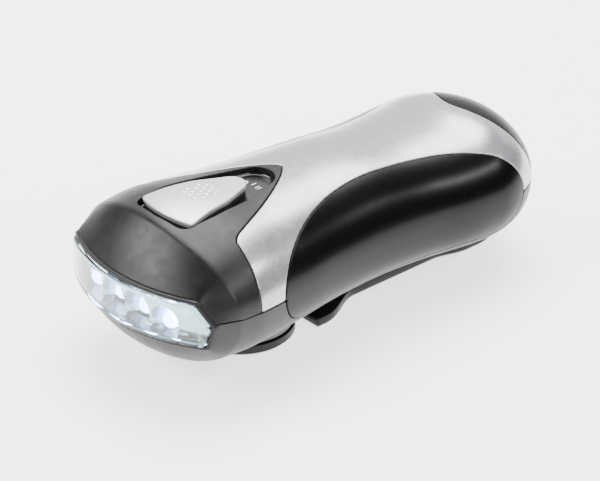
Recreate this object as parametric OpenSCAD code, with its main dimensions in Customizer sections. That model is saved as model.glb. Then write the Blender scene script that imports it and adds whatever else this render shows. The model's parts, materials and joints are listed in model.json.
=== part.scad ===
// Hand-crank LED torch: a moulded body with a curved front window, a sliding switch on top,
// soft side grips, and a crank under the nose that drives a generator through three gear stages.
// Origin: centre of the footprint, on the surface it stands on. The window faces -Y, +Z is up.

/* [Body] */
// Length from the window to the tail
body_length = 150; // [148:0.5:154]
// Greatest width, across the nose
body_width = 68; // [67:0.2:70]
// Wall of the housing shells
wall = 1.8; // [1.6:0.1:2]
// Gap along the seams between the housing panels
seam_gap = 0.24; // [0.16:0.02:0.4]

/* [Window] */
// Radius of the curved window, seen from above
window_r = 54; // [52:0.5:56]
// Width of the window between its pointed ends
window_w = 63; // [61:0.5:64]
// Width of the black frame round the clear lens
bezel_w = 1; // [0.9:0.1:1.4]
// Diameter of one LED
led_d = 5; // [4.6:0.1:5]
// Distance between LEDs
led_pitch = 10.4; // [10:0.1:10.6]

/* [Switch] */
// Travel of the slider
slider_travel = 8; // [4:0.5:8]
// Depth of the recess it slides in
recess_depth = 4; // [3.6:0.1:4.2]

/* [Crank] */
// Radius of the crank disc
disc_r = 15.8; // [15:0.2:15.8]
// Thickness of the crank disc
disc_t = 3; // [2.6:0.1:3]
// Thickness of the crank arm
arm_t = 3.4; // [3:0.1:3.6]
// Half width of the arm in its middle
arm_half_w = 9; // [8.5:0.1:9.5]
// Radius of the roller that the finger turns
knob_r = 2.2; // [2:0.1:2.2]
// Length of the roller
knob_length = 13.4; // [11:0.2:13.4]

/* [Gears] */
// Tooth module of all the gears
gear_module = 0.5; // [0.5]
// Teeth of the crank wheel
wheel_1 = 60; // [60]
// Teeth of the second wheel
wheel_2 = 48; // [48]
// Teeth of the third wheel
wheel_3 = 36; // [36]
// Teeth of each pinion
pinion_teeth = 12; // [12]
// Play between meshed teeth, along the pitch circle
backlash = 0.14; // [0.12:0.01:0.16]

/* [Hidden] */

fine = 96;
length_scale = body_length / 150;
width_scale = body_width / 68;

// ---------------------------------------------------------------- body skin
// Stations along the body: distance along it, half width, top and underside.
STATIONS = [
    [-64, 33.6, 47.8, 7.8],
    [-48, 34.0, 49.8, 7.1],
    [-30, 31.8, 48.5, 7.6],
    [-12, 29.3, 47.8, 8.3],
    [6, 28.0, 47.2, 8.2],
    [24, 28.1, 45.5, 7.0],
    [42, 29.8, 45.1, 5.4],
    [57, 30.3, 46.2, 5.2],
    [75, 30.4, 46.6, 5.2],
];
HALF_W = 1;
TOP = 2;
BELLY = 3;
tail_start = 47.8 * length_scale;
tail_end = 75 * length_scale;
tail_power = 2.1;
upper_power = 2.0;
lower_power = 2.35;
crease_y = -61.2 * length_scale;
rim_back = 1.9;
window_y = -75 * length_scale;
window_centre_y = window_y + window_r;
rim_y = window_y + rim_back;
section_sides = 56;
nose_steps = 7;

function mix(a, b, t) = a + (b - a) * t;
function clamp01(t) = min(1, max(0, t));
function smooth(t) = let (s = clamp01(t)) s * s * (3 - 2 * s);
parting_z = 27.5;
parting_slope = 0.025;
function parting(y) = parting_z - parting_slope * y;

// Smooth curve through one column of the stations
function station_y(i) = STATIONS[i][0] * length_scale;
function slope(i, c) = let (a = max(0, i - 1), b = min(len(STATIONS) - 1, i + 1))
    (STATIONS[b][c] - STATIONS[a][c]) / (station_y(b) - station_y(a));
function station_before(y, i = 0) =
    i >= len(STATIONS) - 2 || y < station_y(i + 1) ? i : station_before(y, i + 1);
function along(y, c) = let (
        i = station_before(y), h = station_y(i + 1) - station_y(i), t = (y - station_y(i)) / h)
    (2 * t ^ 3 - 3 * t ^ 2 + 1) * STATIONS[i][c] + (t ^ 3 - 2 * t ^ 2 + t) * h * slope(i, c)
    + (3 * t ^ 2 - 2 * t ^ 3) * STATIONS[i + 1][c] + (t ^ 3 - t ^ 2) * h * slope(i + 1, c);
function half_width(y) = along(y, HALF_W) * width_scale;

function tail_closing(y, inset) = y <= tail_start ? 1
    : pow(max(0, 1 - pow((y - tail_start) / (tail_end - inset - tail_start), tail_power)), 1 / tail_power);
function bend(v, power) = sign(v) * pow(abs(v), 2 / power);

// The sections bow backwards at the sides towards the nose, to meet the curved window
function bow(y) = 0.4 * smooth((-44 * length_scale - y) / 18);
function arc_drop(x) = window_r - sqrt(max(0, window_r ^ 2 - x ^ 2));

function section_point(y, angle, inset) = let (
        closing = tail_closing(y, inset),
        power = angle < 180 ? upper_power : lower_power,
        z0 = parting(y),
        reach = angle < 180 ? along(y, TOP) - inset - z0 : z0 - along(y, BELLY) - inset,
        x = (half_width(y) - inset) * closing * bend(cos(angle), power))
    [x, y + bow(y) * arc_drop(x), z0 + reach * closing * bend(sin(angle), power)];

// Outline of the window frame, seen from the front: flat top, pointed ends, slightly sagging bottom
rim_end_z = 28.3;
RIM = [ // angle round the section, share of the half width, height above the pointed ends
    [-90, 0, -8.6],
    [-36, 0.94, -7.6],
    [0, 1, 0],
    [42, 0.845, 7.2],
    [90, 0, 7.4],
];
function fold_angle(angle) = let (a = angle > 180 ? angle - 360 : angle)
    a > 90 ? 180 - a : a < -90 ? -180 - a : a;
function rim_leg(a, i = 0) = i >= len(RIM) - 2 || a <= RIM[i + 1][0] ? i : rim_leg(a, i + 1);
function rim_xz(angle, inset) = let (
        a = fold_angle(angle), i = rim_leg(a), t = (a - RIM[i][0]) / (RIM[i + 1][0] - RIM[i][0]),
        side = cos(angle) < 0 ? -1 : 1,
        x = mix(RIM[i][1], RIM[i + 1][1], t) * window_w / 2,
        z = mix(RIM[i][2], RIM[i + 1][2], t))
    [side * x * (1 - 2 * inset / window_w), rim_end_z + z * (1 - inset / 7.4)];
function rim_point(angle, inset) = let (p = rim_xz(angle, inset)) [p.x, rim_y + arc_drop(p.x), p.y];

// From the crease to the window frame the top runs straight and the chin bulges
chin_bulge = 0.5;
function nose_point(t, angle, inset) = let (
        a = section_point(crease_y, angle, inset), b = rim_point(angle, inset),
        chin = chin_bulge * max(0, -sin(angle)),
        forward = mix(t, sin(90 * t), chin), inward = mix(t, 1 - cos(90 * t), chin))
    [mix(a.x, b.x, inward), mix(a.y, b.y, forward), mix(a.z, b.z, inward)];

// The rows of points from the window frame to the tail
function angles() = [for (i = [0 : section_sides - 1]) 360 * (i + 0.5) / section_sides];
function skin_rows(inset, open) = concat(
    open ? [[for (a = angles()) rim_point(a, inset) - [0, 4, 0]]] : [],
    [for (k = [0 : nose_steps - 1]) [for (a = angles()) nose_point(1 - k / nose_steps, a, inset)]],
    [for (k = [0 : 27]) [for (a = angles()) section_point(mix(crease_y, tail_start, k / 28), a, inset)]],
    [for (k = [0 : 11]) let (y = tail_start + (tail_end - inset - tail_start) * sin(90 * k / 12))
        [for (a = angles()) section_point(y, a, inset)]]);

// A closed solid through rows of points, with a fan at each end
module lofted(rows, first, last) {
    n = len(rows[0]);
    m = len(rows);
    points = concat([for (row = rows) each row], [first, last]);
    faces = concat(
        [for (r = [0 : m - 2]) for (i = [0 : n - 1]) let (j = (i + 1) % n, a = r * n)
            each [[a + i, a + j, a + n + i], [a + j, a + n + j, a + n + i]]],
        [for (i = [0 : n - 1]) [m * n, (i + 1) % n, i]],
        [for (i = [0 : n - 1]) [m * n + 1, (m - 1) * n + i, (m - 1) * n + (i + 1) % n]]);
    polyhedron(points, faces, convexity = 6);
}
module skin(inset = 0, open = false) {
    front = rim_y - (open ? 4 : 0);
    lofted(skin_rows(inset, open), [0, front, rim_end_z], [0, tail_end - inset, parting(tail_end)]);
}
module shell() difference() {
    skin();
    skin(wall, true);
}
// A freeform panel is baked into one mesh
module one_mesh() resize([0, 0, 0]) children();

// ---------------------------------------------------------------- panel outlines
// Tongue of the nose hood that reaches back between the silver sides
tongue_y = -13.1;
tongue_corner_y = -45;
function tongue_half(y) = 1.59 * pow(max(0, tongue_y - y), 0.723);
module hood_area() {
    side = [for (y = [tongue_y : -1.8 : tongue_corner_y]) [tongue_half(y), y]];
    shoulder = [[20.6, -47], [23, -48.4], [27, -48.8], [31, -49.4], [40, -50.4], [40, -90]];
    right = concat(side, shoulder);
    polygon(concat(right, [for (i = [len(right) - 1 : -1 : 0]) [-right[i].x, right[i].y]]));
}
// Upper edge of a side grip, seen from above
grip_middle_y = 12.5;
grip_front_y = -40.2;
grip_rear_y = 57;
grip_low_z = 17.5;
function grip_edge(y) = 14.6 + (y < grip_middle_y ? 5.2 : 5.8) * pow(abs(y - grip_middle_y) / 31, 2.4);
module grip_area() polygon(concat(
    [for (y = [grip_front_y - 1.6 : 2 : grip_rear_y + 2]) [grip_edge(y), y]],
    [[60, grip_rear_y + 2], [60, grip_front_y - 1.6]]));
// Round lower corners of a grip, and how far the rear one lies below the front one
grip_corner_r = 12;
grip_drop = 3.2;
module grip_side_area() hull() {
    translate([grip_front_y + grip_corner_r, grip_low_z + grip_corner_r])
        circle(grip_corner_r, $fn = 48);
    translate([grip_rear_y - grip_corner_r, grip_low_z + grip_corner_r - grip_drop])
        circle(grip_corner_r, $fn = 48);
    translate([grip_front_y, grip_low_z + 20]) square([grip_rear_y - grip_front_y, 2]);
}
// Front edge of the rear inlay, seen from above
inlay_y = 52.9;
module inlay_area() polygon(concat(
    [for (x = [-32 : 2 : 32]) [x, inlay_y + 0.235 * pow(abs(x), 1.26)]], [[32, 90], [-32, 90]]));

module parting_space(side, gap) {
    // The half space above (side 1) or below (side -1) the parting plane
    floor_z = side > 0 ? parting_z + gap : parting_z - gap - 80;
    rotate([-atan(parting_slope), 0, 0]) translate([-60, -120, floor_z]) cube([120, 240, 80]);
}
module upper(gap = 0) intersection() {
    children();
    parting_space(1, gap);
}
module lower(gap = 0) intersection() {
    children();
    parting_space(-1, gap);
}
module seen_from_above(grow = 0) linear_extrude(80) offset(delta = grow) children();
module grip_space(grow) {
    upper() seen_from_above(grow) grip_area();
    translate([0, 0, 0.01]) lower()
        rotate([90, 0, 90]) linear_extrude(60) offset(delta = grow) grip_side_area();
}

// ---------------------------------------------------------------- switch recess and slider
recess_floor_z = along(-40, TOP) - recess_depth;
slot_w = 2.6;
slot_y = -43;
cap_t = 1.5;
// Round shapes whose common outline is the recess or the slider: x, y and radius
RECESS = [[-7.6, -54.6, 3.6], [7.6, -54.6, 3.6], [0, -47.7, 11.2], [0, -34, 9.2], [0, -23.6, 6]];
SLIDER = [[-8.1, -54, 2.6], [8.1, -54, 2.6], [0, -41.5, 8], [0, -31.8, 4.4]];
slider_front_y = -57.4;
slider_front_r = 26;
module outline_round(shapes) hull() for (c = shapes) translate([c[0], c[1]]) circle(c[2], $fn = 48);
module recess_area() outline_round(RECESS);
module slider_area() intersection() {
    hull() {
        outline_round(SLIDER);
        translate([-7, slider_front_y]) square([14, 4]);
    }
    translate([0, slider_front_y + slider_front_r]) circle(slider_front_r, $fn = 120);
}

module nose_hood() color("#26272a") one_mesh() {
    difference() {
        union() {
            upper(seam_gap / 2) intersection() {
                shell();
                seen_from_above(-seam_gap / 2) hood_area();
            }
            intersection() {
                skin(0.6);
                translate([0, 0, recess_floor_z - wall]) seen_from_above(1.4) recess_area();
            }
            for (x = [-1, 1] * board_screw_x) translate([x, board_screw_y, board_z + 1.4])
                cylinder(hood_post_top - board_z - 1.4, 2.6, 2.6, $fn = 24);
            // rib that the top edge of the LED board rests against
            translate([-6, led_board_y - 2.4, led_board_top])
                cube([12, 1.2, recess_floor_z - led_board_top]);
        }
        translate([0, 0, recess_floor_z]) seen_from_above() recess_area();
        translate([-slot_w / 2, slot_y - 2, 30]) cube([slot_w, slider_travel + 4, 30]);
        for (x = [-1, 1] * board_screw_x) translate([x, board_screw_y, board_z])
            cylinder(6.5, 1.1, 1.1, $fn = 16);
    }
}

module top_cover() color("#b9bcc0") one_mesh() {
    upper(seam_gap / 2) difference() {
        shell();
        seen_from_above(seam_gap / 2) hood_area();
        for (side = [0, 1]) mirror([side, 0, 0]) grip_space(seam_gap / 2);
        seen_from_above(seam_gap / 2) inlay_area();
    }
}
module side_grip(side) color("#1d1e20") one_mesh() mirror([side, 0, 0]) intersection() {
    shell();
    grip_space(-seam_gap / 2);
}
module side_grip_left() side_grip(0);
module side_grip_right() side_grip(1);

module rear_inlay() color("#3a3b3e") one_mesh() upper(seam_gap / 2) intersection() {
    shell();
    seen_from_above(-seam_gap / 2) inlay_area();
}

// ---------------------------------------------------------------- crank axis and gear layout
crank_y = -28.7;
disc_gap = 0.4;
boss_z = disc_t + disc_gap;
boss_r = 15.3;
boss_hole_r = boss_r + 0.3;
pinion_r = gear_module * pinion_teeth / 2;
axis_a_y = crank_y + gear_module * wheel_1 / 2 + pinion_r;
axis_b_y = axis_a_y + gear_module * wheel_2 / 2 + pinion_r;
rotor_y = axis_b_y + gear_module * wheel_3 / 2 + pinion_r;
frame_z = 11.8;
plate_t = 1.5;
frame_top = frame_z + plate_t;
level_step = 3.2;
level_1 = frame_top + 0.9;
level_2 = level_1 + level_step;
level_3 = level_2 + level_step;
wheel_t = 2.2;
top_plate_z = level_3 + level_step;
post_r = 2;
post_x = 10.2;
rear_post_y = 30.6;
POSTS = [[-post_x, -47], [post_x, -47], [0, rear_post_y]];
SCREWS = [[-19, -52], [19, -52], [-17, 50], [17, 50]];
screw_floor = 11.7;

module lower_housing() color("#2b2c2f") one_mesh() difference() {
    union() {
        difference() {
            lower(seam_gap / 2) shell();
            for (side = [0, 1]) mirror([side, 0, 0]) grip_space(seam_gap / 2);
        }
        // screw bosses
        intersection() {
            skin(0.5);
            for (s = SCREWS) translate([s.x, s.y, 0]) cylinder(screw_floor + 8, 3.4, 3.4, $fn = 28);
        }
        // feet that carry the gear frame
        intersection() {
            skin(0.5);
            for (p = POSTS) translate([p.x, p.y, 0]) cylinder(frame_z - 0.05, post_r, post_r, $fn = 24);
        }
    }
    translate([0, crank_y, 0]) cylinder(30, boss_hole_r, boss_hole_r, $fn = 64);
    for (s = SCREWS) translate([s.x, s.y, 0]) {
        cylinder(screw_floor, 2.5, 2.5, $fn = 28);
        cylinder(60, 1.5, 1.5, $fn = 20);
    }
}

module bearing_housing() color("#35363a") translate([0, crank_y, 0]) {
    rotate_extrude($fn = fine) polygon([
        [bush_r, boss_z], [boss_r - 0.6, boss_z], [boss_r, boss_z + 0.6], [boss_r, frame_z - 0.1],
        [bush_r, frame_z - 0.1]]);
}
module crank_bushing() color("#b58b3c") translate([0, crank_y, boss_z + 0.2]) difference() {
    union() {
        cylinder(frame_z - boss_z - 0.2, r = bush_r, $fn = fine);
        translate([0, 0, frame_z - boss_z - 0.2]) cylinder(1, r = 6, $fn = fine);
    }
    translate([0, 0, -1]) cylinder(20, r = shaft_r + running, $fn = fine);
}

// ---------------------------------------------------------------- window, reflector and LEDs
led_z = rim_end_z - 3;
led_base_y = window_y + 11.4;
module rim_outline(inset) polygon([for (a = [-87.5 : 5 : 270]) rim_xz(a < 0 ? a + 360 : a, inset)]);
// Curved slab inside the window outline, between two depths behind the front of the window
module window_slab(front, back, inset) intersection() {
    translate([0, -40, 0]) rotate([90, 0, 0]) linear_extrude(40) rim_outline(inset);
    translate([0, window_centre_y, 10]) difference() {
        translate([0, front, 0]) cylinder(40, r = window_r, $fn = 180);
        translate([0, back, -1]) cylinder(42, r = window_r, $fn = 180);
    }
}
// The frame stands back from the front of the lens by this much
bezel_front = 1;
module window_bezel() color("#151618") difference() {
    window_slab(bezel_front, rim_back - 0.05, 0);
    translate([0, -40, 0]) rotate([90, 0, 0]) linear_extrude(60) rim_outline(bezel_w);
}
lens_t = 1.6;
module window_lens() color([0.8, 0.9, 1, 0.35]) {
    window_slab(0, lens_t, bezel_w + 0.12);
}
module led_places() for (k = [-1.5 : 1 : 1.5])
    translate([k * led_pitch, led_base_y, led_z]) rotate([90, 0, 0]) children();
reflector_front = 3.2;
reflector_back = 9;
module reflector() color("#dfe3e8") difference() {
    window_slab(reflector_front, reflector_back, wall + 1.1);
    led_places() {
        translate([0, 0, -2]) cylinder(20, r = led_d / 2 + 0.3, $fn = 64);
        translate([0, 0, 1.2]) cylinder(7, r1 = led_d / 2 + 0.4, r2 = 6.2, $fn = 64);
    }
}
module leds() color("#eef3ff") led_places() {
    translate([0, 0, -1.2]) cylinder(1, r = led_d / 2 + 0.1, $fn = 48);
    translate([0, 0, -0.2]) cylinder(2.6, r = led_d / 2, $fn = 48);
    translate([0, 0, 2.4]) sphere(led_d / 2, $fn = 48);
}
led_board_y = -57.6;
led_board_top = rim_end_z + 5;
module led_board() color("#2e6b3f") translate([-21, led_board_y, led_board_top - 11]) cube([42, 1.2, 11]);
led_lead_gap = 1.27;
module led_leads() color("#c9ccd0") for (k = [-1.5 : 1 : 1.5])
    for (s = [-led_lead_gap, led_lead_gap]) translate([k * led_pitch + s, led_board_y, led_z])
        rotate([90, 0, 0]) cylinder(led_board_y - led_base_y - 1.2, r = 0.25, $fn = 16);

// ---------------------------------------------------------------- slider and switch
// The cap stands this far above the skin of the body
cap_proud = 0.4;
module slider_cap() color("#c3c6ca") one_mesh() intersection() {
    difference() {
        skin(-cap_proud);
        translate([0, 0, -cap_t]) skin(-cap_proud);
    }
    translate([0, 0, 40]) seen_from_above() slider_area();
}
module slider_base() color("#1b1c1e") one_mesh() difference() {
    intersection() {
        translate([0, 0, -cap_t - 0.02]) skin(-cap_proud);
        translate([0, 0, recess_floor_z + 0.25]) seen_from_above(-0.35) slider_area();
    }
    translate([-1.3, slot_y - 1.6, 30]) cube([2.6, 3.2, recess_floor_z - 30 + 1.4]);
}
board_z = 36.8;
board_t = 1.2;
board_screw_x = 15;
board_screw_y = -53;
hood_post_top = 45.6;
switch_z = board_z + board_t;
module switch_actuator() color("#e8e8e8") translate([-1, slot_y - 1.4, switch_z + 2.4])
    cube([2, 2.8, recess_floor_z - switch_z - 1.2]);
module slide_switch() color("#9da1a6") translate([0, slot_y + slider_travel / 2, switch_z]) difference() {
    translate([-3.5, -9, 0]) cube([7, 18, 3.6]);
    translate([-1.3, -6.5, 2.2]) cube([2.6, 13, 3]);
}
module main_board() color("#2e6b3f") difference() {
    translate([-19, -56.2, board_z]) cube([38, 46, board_t]);
    for (x = [-1, 1] * board_screw_x) translate([x, board_screw_y, board_z - 1])
        cylinder(4, r = 1.5, $fn = 32);
}
module board_parts() color("#303338") translate([0, 0, board_z]) {
    translate([-14, -28, 1.2]) cube([9, 6, 1.6]);
    translate([6, -26, 1.2]) cube([5, 4, 1.4]);
    translate([12, -38, -4]) cylinder(4, r = 3, $fn = 48);
    for (k = [0 : 3]) translate([-15 + 4 * k, -16, 1.2]) cube([2, 1.2, 0.8]);
    for (k = [0 : 3]) translate([4 + 3 * k, -18, -2.7]) cylinder(2.7, r = 1.1, $fn = 32);
}
module screw(shank_r, head_r, length, head_t) difference() {
    union() {
        cylinder(length, r = shank_r, $fn = 32);
        translate([0, 0, -head_t]) cylinder(head_t, r = head_r, $fn = 40);
    }
    for (a = [0, 90]) rotate([0, 0, a]) translate([-head_r * 0.62, -0.3, -head_t - 0.1])
        cube([head_r * 1.24, 0.6, 0.9]);
}
module board_screws() color("#8f9398") for (x = [-1, 1] * board_screw_x)
    translate([x, board_screw_y, board_z]) screw(1.05, 2.2, 6, 1.4);
module housing_screws() color("#8f9398") for (s = SCREWS) translate([s.x, s.y, screw_floor])
    screw(1.35, 2.4, 12, 1.8);

// ---------------------------------------------------------------- crank
shaft_r = 3;
bush_r = 4.6;
running = 0.04;
tongue_half_w = 6.4;
tongue_z = 1.6;
tongue_rear_y = -4.6;
arm_front_y = -12.8;
arm_screw_x = 3.4;
arm_screw_y = -8.8;
ARM_SCREWS = [[-arm_screw_x, arm_screw_y], [arm_screw_x, arm_screw_y]];

module crank_disc() color("#232427") difference() {
    union() {
        translate([0, crank_y, 0.8]) cylinder(disc_t - 0.8, r = disc_r, $fn = fine);
        translate([0, crank_y, 0]) cylinder(0.8, r1 = disc_r - 0.8, r2 = disc_r, $fn = fine);
        // tongue that the root of the arm is screwed to
        translate([-tongue_half_w, crank_y, tongue_z])
            cube([2 * tongue_half_w, tongue_rear_y - crank_y, disc_t - tongue_z]);
    }
    translate([0, crank_y, 1]) cylinder(8, r = shaft_r, $fn = 64);
    translate([0, crank_y, -1]) cylinder(3, r = 2.2, $fn = 48);
    for (p = ARM_SCREWS) translate([p.x, p.y, -1]) cylinder(8, r = 0.88, $fn = 32);
}
module crank_shaft() color("#b4b8bd") translate([0, crank_y, 1]) difference() {
    cylinder(top_plate_z + plate_t - 1.4, r = shaft_r, $fn = fine);
    translate([0, 0, -1]) cylinder(9, r = 1.1, $fn = 32);
}
module crank_screw() color("#8f9398") translate([0, crank_y, 0.98]) screw(1.08, 2.1, 7, 0.9);

// Plan of the arm: a wide root, a slim middle and a wider round end
arm_end_y = 57;
arm_end_length = 12.6;
arm_root_half = 15.5;
arm_end_half = 11.6;
function arm_half(y) = arm_half_w + (arm_root_half - arm_half_w) * smooth((8 - y) / 17)
    + (arm_end_half - arm_half_w) * smooth((y - 40) / 12);
module arm_area() {
    side = [for (y = [arm_front_y + 0.9 : 2.3 : arm_end_y]) [arm_half(y), y]];
    tip = [for (a = [0 : 7.5 : 90]) [arm_end_half * cos(a), arm_end_y + arm_end_length * sin(a)]];
    right = concat([[arm_root_half - 0.9, arm_front_y]], side, tip);
    polygon(concat(right, [for (i = [len(right) - 2 : -1 : 0]) [-right[i].x, right[i].y]]));
}
// The roller folds into a slot at the end of the arm
knob_hinge_y = 48.6;
knob_hinge_z = 1.7;
knob_pin_r = 0.8;
knob_z = knob_r + 0.2;
slot_half = 2.95;
yoke_half = 2.7;
yoke_end_y = knob_hinge_y + 3;
knob_start_y = yoke_end_y + 0.3;
knob_end_y = knob_start_y + knob_length;
axle_pin_r = 0.9;
module crank_arm() color("#1f2023") difference() {
    union() {
        translate([0, 0, 0.7]) linear_extrude(arm_t - 0.7) arm_area();
        linear_extrude(0.7) offset(delta = -0.6) arm_area();
    }
    // lap for the tongue of the disc
    translate([-tongue_half_w - 0.2, arm_front_y - 1, tongue_z])
        cube([2 * tongue_half_w + 0.4, tongue_rear_y - arm_front_y + 1.2, 4]);
    for (p = ARM_SCREWS) translate([p.x, p.y, 0]) {
        translate([0, 0, -1]) cylinder(2, r = 1.9, $fn = 40);
        translate([0, 0, -1]) cylinder(8, r = 0.95, $fn = 32);
    }
    translate([-slot_half, knob_hinge_y - 1.8, -1])
        cube([2 * slot_half, knob_end_y + 3.2 - knob_hinge_y, 8]);
    translate([-6.4, knob_hinge_y, knob_hinge_z]) rotate([0, 90, 0]) cylinder(30, r = knob_pin_r, $fn = 40);
}
module arm_screws() color("#8f9398") for (p = ARM_SCREWS) translate([p.x, p.y, 0.98])
    screw(0.88, 1.8, 1.9, 0.8);
module knob_hinge_pin() color("#b4b8bd") translate([-6.4, knob_hinge_y, knob_hinge_z]) rotate([0, 90, 0])
    cylinder(15.8, r = knob_pin_r, $fn = 40);
module knob_yoke() color("#2a2b2e") difference() {
    union() {
        translate([-yoke_half, knob_hinge_y, knob_hinge_z]) rotate([0, 90, 0])
            cylinder(2 * yoke_half, r = 1.55, $fn = 48);
        translate([-yoke_half, knob_hinge_y, 0.5]) cube([2 * yoke_half, yoke_end_y - knob_hinge_y, 3.7]);
    }
    translate([-8, knob_hinge_y, knob_hinge_z]) rotate([0, 90, 0])
        cylinder(16, r = knob_pin_r + running, $fn = 40);
    translate([0, knob_hinge_y + 1.4, knob_z]) rotate([-90, 0, 0]) cylinder(6, r = axle_pin_r, $fn = 40);
}
module knob_axle() color("#b4b8bd") translate([0, knob_hinge_y + 1.4, knob_z]) rotate([-90, 0, 0]) {
    cylinder(knob_end_y + 0.3 - knob_hinge_y - 1.4, r = axle_pin_r, $fn = 40);
    translate([0, 0, knob_end_y + 0.3 - knob_hinge_y - 1.4]) cylinder(0.6, r = 1.7, $fn = 40);
}
module crank_knob() color("#2a2b2e") translate([0, knob_start_y, knob_z]) rotate([-90, 0, 0]) difference() {
    cylinder(knob_length, r = knob_r, $fn = 64);
    translate([0, 0, -1]) cylinder(knob_length + 2, r = axle_pin_r + running, $fn = 48);
}

// ---------------------------------------------------------------- gears
addendum = 0.8;
dedendum = 1.15;
pressure = 25;
function involute(a) = tan(a) - a * PI / 180;
// Half the angle that a tooth takes at radius r
function tooth_half(r, pitch_r, teeth) = let (
        base = pitch_r * cos(pressure), a = r > base ? acos(base / r) : 0,
        half = 90 / teeth - backlash / 4 / pitch_r * 180 / PI)
    half + (involute(pressure) - involute(a)) * 180 / PI;
function tooth_points(teeth) = let (
        pitch_r = gear_module * teeth / 2, root = pitch_r - dedendum * gear_module,
        base = pitch_r * cos(pressure), tip = pitch_r + addendum * gear_module,
        start = max(root + 0.08, base))
    [[root, tooth_half(start, pitch_r, teeth)], for (t = [0, 0.35, 0.7, 1])
        [mix(start, tip, t), tooth_half(mix(start, tip, t), pitch_r, teeth)]];
module gear_outline(teeth, turn) {
    flank = tooth_points(teeth);
    last = len(flank) - 1;
    polygon([for (k = [0 : teeth - 1]) let (mid = turn + 360 * k / teeth) each concat(
        [for (p = flank) [p[0] * cos(mid - p[1]), p[0] * sin(mid - p[1])]],
        [for (i = [last : -1 : 0]) let (p = flank[i]) [p[0] * cos(mid + p[1]), p[0] * sin(mid + p[1])]])]);
}
module gear(teeth, thickness, turn) linear_extrude(thickness) gear_outline(teeth, turn);
axle_r = 1.2;
hub_r = 2.2;
crank_hub_r = 5;
tooth_up = 90;
gap_down = -90 + 180 / pinion_teeth;
module crank_wheel() color("#e9e4d4") translate([0, crank_y, 0]) difference() {
    union() {
        translate([0, 0, level_1]) gear(wheel_1, wheel_t, tooth_up);
        translate([0, 0, frame_top + 0.2])
            cylinder(top_plate_z - frame_top - 0.4, r = crank_hub_r, $fn = 64);
    }
    translate([0, 0, 10]) cylinder(20, r = shaft_r, $fn = fine);
    for (a = [30 : 60 : 330]) rotate([0, 0, a]) translate([9.7, 0, 10]) cylinder(20, r = 2.4, $fn = 40);
}
// A pinion and a wheel in one piece, with hubs that reach the two plates
module compound_gear(y, low, wheel) translate([0, y, 0]) difference() {
    union() {
        translate([0, 0, low - 0.2]) gear(pinion_teeth, level_step + 0.2, gap_down);
        translate([0, 0, low + level_step]) gear(wheel, wheel_t - 0.2, tooth_up);
        translate([0, 0, frame_top + 0.2]) cylinder(low - frame_top - 0.4, r = hub_r, $fn = 48);
        translate([0, 0, low + level_step])
            cylinder(top_plate_z - 0.2 - low - level_step, r = hub_r, $fn = 48);
    }
    translate([0, 0, 10]) cylinder(20, r = axle_r + running, $fn = 48);
}
module gear_a() color("#e9e4d4") compound_gear(axis_a_y, level_1, wheel_2);
module gear_b() color("#e9e4d4") compound_gear(axis_b_y, level_2, wheel_3);
module gear_axles() color("#b4b8bd") for (y = [axis_a_y, axis_b_y])
    translate([0, y, frame_z + 0.1]) cylinder(top_plate_z + plate_t - frame_z - 0.2, r = axle_r, $fn = 48);

// Plan of the two gear plates: wide round the crank wheel, narrow behind it
module plate_area(narrow) polygon([
    [-post_x - 1.6, -49.4], [post_x + 1.6, -49.4], [14, -42], [14, -24], [narrow, -14], [narrow, 14],
    [3, rear_post_y + 2.4], [-3, rear_post_y + 2.4], [-narrow, 14], [-narrow, -14], [-14, -24], [-14, -42]]);
module gear_frame() color("#d9d6cc") difference() {
    union() {
        translate([0, 0, frame_z]) linear_extrude(plate_t) plate_area(9.6);
        for (p = POSTS) translate([p.x, p.y, frame_z])
            cylinder(top_plate_z - frame_z, r = post_r, $fn = 40);
    }
    translate([0, crank_y, frame_z - 1]) cylinder(4, r = 6.4, $fn = 64);
    for (y = [axis_a_y, axis_b_y]) translate([0, y, frame_z - 1]) cylinder(4, r = axle_r, $fn = 48);
    for (p = POSTS) translate([p.x, p.y, top_plate_z - 5]) cylinder(6, r = 0.9, $fn = 32);
}
module gear_plate() color("#d9d6cc") difference() {
    translate([0, 0, top_plate_z]) linear_extrude(plate_t) {
        plate_area(post_x + 1.6);
        translate([0, rotor_y]) circle(can_r, $fn = fine);
    }
    translate([0, crank_y, top_plate_z - 1]) cylinder(4, r = shaft_r + running, $fn = fine);
    for (y = [axis_a_y, axis_b_y]) translate([0, y, top_plate_z - 1]) cylinder(4, r = axle_r, $fn = 48);
    translate([0, rotor_y, top_plate_z - 1]) cylinder(4, r = 3.6, $fn = 64);
    for (p = POSTS) translate([p.x, p.y, top_plate_z - 1]) cylinder(4, r = 1.2, $fn = 32);
}
module frame_screws() color("#8f9398") for (p = POSTS) translate([p.x, p.y, top_plate_z + plate_t])
    rotate([180, 0, 0]) screw(0.88, 1.9, 4.5, 1.2);

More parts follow.
